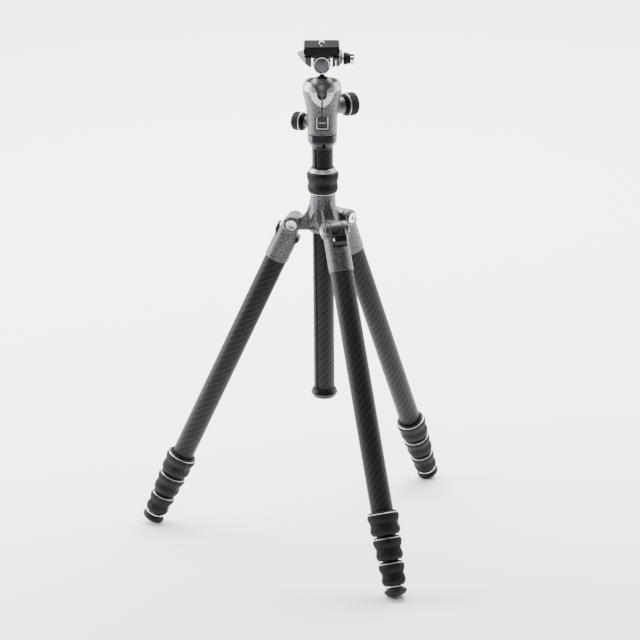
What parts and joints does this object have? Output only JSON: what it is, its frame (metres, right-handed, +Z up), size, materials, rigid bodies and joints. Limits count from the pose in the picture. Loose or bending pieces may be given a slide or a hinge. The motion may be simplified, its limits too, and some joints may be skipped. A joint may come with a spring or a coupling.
{
  "type": "tripod",
  "caption": "Travel tripod with folding twist-lock legs, a sliding centre column and a ball head with a quick-release plate.",
  "frame": {"origin": "on the floor, under the centre of the bounding box, legs spread to the first stop and pushed in", "axes": "+Z up along the column; the head's front, with its drop notch, faces -Y"},
  "size_m": [0.344, 0.3658, 0.5674],
  "materials": {
    "hammertone_casting": "satin textured paint",
    "carbon_tube": "gloss lacquer over carbon fibre",
    "grip_rubber": "matte",
    "foot_rubber": "matte",
    "plate_rubber": "matte",
    "black_plastic": "satin",
    "black_anodised_plate": "black anodised",
    "satin_trim": "satin",
    "anodised_ball": "hard anodised",
    "dark_base": "gloss anodised",
    "turned_steel": "turned"
  },
  "bodies": {
    "spider": {"spider": "hammertone_casting", "column_collet": "black_plastic", "column_lock_ring": "turned_steel"},
    "column": {"column_tube": "carbon_tube", "column_cap": "black_plastic", "column_top_plate": "black_plastic", "head_stud": "turned_steel", "head_base": "dark_base"},
    "column_grip": {"column_lock": "grip_rubber"},
    "head": {"head_body": "hammertone_casting", "head_collar": "satin_trim"},
    "ball_lock": {"ball_lock_knob": "grip_rubber", "ball_lock_screw": "turned_steel"},
    "pan_lock": {"pan_lock_knob": "grip_rubber", "pan_lock_screw": "turned_steel"},
    "ball_seat": {"ball_seat": "black_plastic"},
    "ball": {"ball": "anodised_ball", "clamp_body": "hammertone_casting", "clamp_fixing_screw": "turned_steel"},
    "jaw": {"clamp_jaw": "hammertone_casting"},
    "clamp_knob": {"clamp_knob": "grip_rubber", "clamp_screw": "turned_steel"},
    "plate": {"quick_plate": "black_anodised_plate", "plate_pad": "plate_rubber"},
    "camera_screw": {"camera_screw": "turned_steel"},
    "leg_1": {"leg_1_fork": "hammertone_casting", "leg_1_bolt": "turned_steel", "leg_1_tube_1": "carbon_tube"},
    "leg_1_stop": {"leg_1_angle_stop": "black_plastic"},
    "leg_1_grip_1": {"leg_1_lock_1": "grip_rubber"},
    "leg_1_section_2": {"leg_1_tube_2": "carbon_tube"},
    "leg_1_grip_2": {"leg_1_lock_2": "grip_rubber"},
    "leg_1_section_3": {"leg_1_tube_3": "carbon_tube"},
    "leg_1_grip_3": {"leg_1_lock_3": "grip_rubber"},
    "leg_1_section_4": {"leg_1_tube_4": "carbon_tube", "leg_1_foot": "foot_rubber"},
    "leg_2": {"leg_2_fork": "hammertone_casting", "leg_2_bolt": "turned_steel", "leg_2_tube_1": "carbon_tube"},
    "leg_2_stop": {"leg_2_angle_stop": "black_plastic"},
    "leg_2_grip_1": {"leg_2_lock_1": "grip_rubber"},
    "leg_2_section_2": {"leg_2_tube_2": "carbon_tube"},
    "leg_2_grip_2": {"leg_2_lock_2": "grip_rubber"},
    "leg_2_section_3": {"leg_2_tube_3": "carbon_tube"},
    "leg_2_grip_3": {"leg_2_lock_3": "grip_rubber"},
    "leg_2_section_4": {"leg_2_tube_4": "carbon_tube", "leg_2_foot": "foot_rubber"},
    "leg_3": {"leg_3_fork": "hammertone_casting", "leg_3_bolt": "turned_steel", "leg_3_tube_1": "carbon_tube"},
    "leg_3_stop": {"leg_3_angle_stop": "black_plastic"},
    "leg_3_grip_1": {"leg_3_lock_1": "grip_rubber"},
    "leg_3_section_2": {"leg_3_tube_2": "carbon_tube"},
    "leg_3_grip_2": {"leg_3_lock_2": "grip_rubber"},
    "leg_3_section_3": {"leg_3_tube_3": "carbon_tube"},
    "leg_3_grip_3": {"leg_3_lock_3": "grip_rubber"},
    "leg_3_section_4": {"leg_3_tube_4": "carbon_tube", "leg_3_foot": "foot_rubber"}
  },
  "joints": [
    {"name": "column_slide", "type": "slide", "parent": "spider", "child": "column", "axis": [0, 0, 1], "range_m": [-0.021, 0.18]},
    {"name": "column_grip_turn", "type": "hinge", "parent": "spider", "child": "column_grip", "pos_m": [0.03702, 0.01373, 0.36482], "axis": [0, 0, 1], "range_deg": [0, 90]},
    {"name": "pan", "type": "hinge", "parent": "column", "child": "head", "pos_m": [0.03702, 0.01373, 0.36482], "axis": [0, 0, 1], "continuous": true},
    {"name": "ball_lean", "type": "hinge", "parent": "head", "child": "ball_seat", "pos_m": [0.03702, 0.01373, 0.51212], "axis": [0, 1, 0], "range_deg": [-25, 25]},
    {"name": "ball_tilt", "type": "hinge", "parent": "ball_seat", "child": "ball", "pos_m": [0.03702, 0.01373, 0.51212], "axis": [1, 0, 0], "range_deg": [-25, 90]},
    {"name": "ball_lock_turn", "type": "hinge", "parent": "head", "child": "ball_lock", "pos_m": [0.05971, 0.02683, 0.49352], "axis": [0.866, 0.5, 0], "range_deg": [-45, 270]},
    {"name": "pan_lock_turn", "type": "hinge", "parent": "head", "child": "pan_lock", "pos_m": [0.01814, 0.02463, 0.47562], "axis": [-0.866, 0.5, 0], "range_deg": [-45, 270]},
    {"name": "clamp_jaw_slide", "type": "slide", "parent": "ball", "child": "jaw", "axis": [1, 0, 0], "range_m": [0, 0.0024]},
    {"name": "clamp_knob_turn", "type": "hinge", "parent": "jaw", "child": "clamp_knob", "pos_m": [0.05982, 0.01373, 0.54792], "axis": [1, 0, 0], "range_deg": [0, 1080]},
    {"name": "plate_slide", "type": "slide", "parent": "ball", "child": "plate", "axis": [0, 1, 0], "range_m": [-0.012, 0.012]},
    {"name": "camera_screw_turn", "type": "hinge", "parent": "plate", "child": "camera_screw", "pos_m": [0.03702, 0.01373, 0.51212], "axis": [0, 0, 1], "continuous": true},
    {"name": "leg_1_fold", "type": "hinge", "parent": "spider", "child": "leg_1", "pos_m": [0.04931, -0.01668, 0.36482], "axis": [-0.9272, -0.3746, 0], "range_deg": [-25, 142]},
    {"name": "leg_1_stop_slide", "type": "slide", "parent": "leg_1", "child": "leg_1_stop", "axis": [0.3395, -0.8403, 0.4226], "range_m": [0, 0.004]},
    {"name": "leg_1_grip_1_turn", "type": "hinge", "parent": "leg_1", "child": "leg_1_grip_1", "pos_m": [0.04931, -0.01668, 0.36482], "axis": [0.1583, -0.3918, -0.9063], "range_deg": [0, 90]},
    {"name": "leg_1_section_2_slide", "type": "slide", "parent": "leg_1", "child": "leg_1_section_2", "axis": [0.1583, -0.3918, -0.9063], "range_m": [0, 0.25]},
    {"name": "leg_1_grip_2_turn", "type": "hinge", "parent": "leg_1_section_2", "child": "leg_1_grip_2", "pos_m": [0.04931, -0.01668, 0.36482], "axis": [0.1583, -0.3918, -0.9063], "range_deg": [0, 90]},
    {"name": "leg_1_section_3_slide", "type": "slide", "parent": "leg_1_section_2", "child": "leg_1_section_3", "axis": [0.1583, -0.3918, -0.9063], "range_m": [0, 0.25]},
    {"name": "leg_1_grip_3_turn", "type": "hinge", "parent": "leg_1_section_3", "child": "leg_1_grip_3", "pos_m": [0.04931, -0.01668, 0.36482], "axis": [0.1583, -0.3918, -0.9063], "range_deg": [0, 90]},
    {"name": "leg_1_section_4_slide", "type": "slide", "parent": "leg_1_section_3", "child": "leg_1_section_4", "axis": [0.1583, -0.3918, -0.9063], "range_m": [0, 0.25]},
    {"name": "leg_2_fold", "type": "hinge", "parent": "spider", "child": "leg_2", "pos_m": [0.05721, 0.03958, 0.36482], "axis": [0.788, -0.6157, 0], "range_deg": [-25, 142]},
    {"name": "leg_2_stop_slide", "type": "slide", "parent": "leg_2", "child": "leg_2_stop", "axis": [0.558, 0.7142, 0.4226], "range_m": [0, 0.004]},
    {"name": "leg_2_grip_1_turn", "type": "hinge", "parent": "leg_2", "child": "leg_2_grip_1", "pos_m": [0.05721, 0.03958, 0.36482], "axis": [0.2602, 0.333, -0.9063], "range_deg": [0, 90]},
    {"name": "leg_2_section_2_slide", "type": "slide", "parent": "leg_2", "child": "leg_2_section_2", "axis": [0.2602, 0.333, -0.9063], "range_m": [0, 0.25]},
    {"name": "leg_2_grip_2_turn", "type": "hinge", "parent": "leg_2_section_2", "child": "leg_2_grip_2", "pos_m": [0.05721, 0.03958, 0.36482], "axis": [0.2602, 0.333, -0.9063], "range_deg": [0, 90]},
    {"name": "leg_2_section_3_slide", "type": "slide", "parent": "leg_2_section_2", "child": "leg_2_section_3", "axis": [0.2602, 0.333, -0.9063], "range_m": [0, 0.25]},
    {"name": "leg_2_grip_3_turn", "type": "hinge", "parent": "leg_2_section_3", "child": "leg_2_grip_3", "pos_m": [0.05721, 0.03958, 0.36482], "axis": [0.2602, 0.333, -0.9063], "range_deg": [0, 90]},
    {"name": "leg_2_section_4_slide", "type": "slide", "parent": "leg_2_section_3", "child": "leg_2_section_4", "axis": [0.2602, 0.333, -0.9063], "range_m": [0, 0.25]},
    {"name": "leg_3_fold", "type": "hinge", "parent": "spider", "child": "leg_3", "pos_m": [0.00454, 0.0183, 0.36482], "axis": [0.1392, 0.9903, 0], "range_deg": [-25, 142]},
    {"name": "leg_3_stop_slide", "type": "slide", "parent": "leg_3", "child": "leg_3_stop", "axis": [-0.8975, 0.1261, 0.4226], "range_m": [0, 0.004]},
    {"name": "leg_3_grip_1_turn", "type": "hinge", "parent": "leg_3", "child": "leg_3_grip_1", "pos_m": [0.00454, 0.0183, 0.36482], "axis": [-0.4185, 0.0588, -0.9063], "range_deg": [0, 90]},
    {"name": "leg_3_section_2_slide", "type": "slide", "parent": "leg_3", "child": "leg_3_section_2", "axis": [-0.4185, 0.0588, -0.9063], "range_m": [0, 0.25]},
    {"name": "leg_3_grip_2_turn", "type": "hinge", "parent": "leg_3_section_2", "child": "leg_3_grip_2", "pos_m": [0.00454, 0.0183, 0.36482], "axis": [-0.4185, 0.0588, -0.9063], "range_deg": [0, 90]},
    {"name": "leg_3_section_3_slide", "type": "slide", "parent": "leg_3_section_2", "child": "leg_3_section_3", "axis": [-0.4185, 0.0588, -0.9063], "range_m": [0, 0.25]},
    {"name": "leg_3_grip_3_turn", "type": "hinge", "parent": "leg_3_section_3", "child": "leg_3_grip_3", "pos_m": [0.00454, 0.0183, 0.36482], "axis": [-0.4185, 0.0588, -0.9063], "range_deg": [0, 90]},
    {"name": "leg_3_section_4_slide", "type": "slide", "parent": "leg_3_section_3", "child": "leg_3_section_4", "axis": [-0.4185, 0.0588, -0.9063], "range_m": [0, 0.25]}
  ],
  "couplings": [
    {"joint": "clamp_knob_turn", "follows": "clamp_jaw_slide", "rad_per_m": 7854}
  ]
}
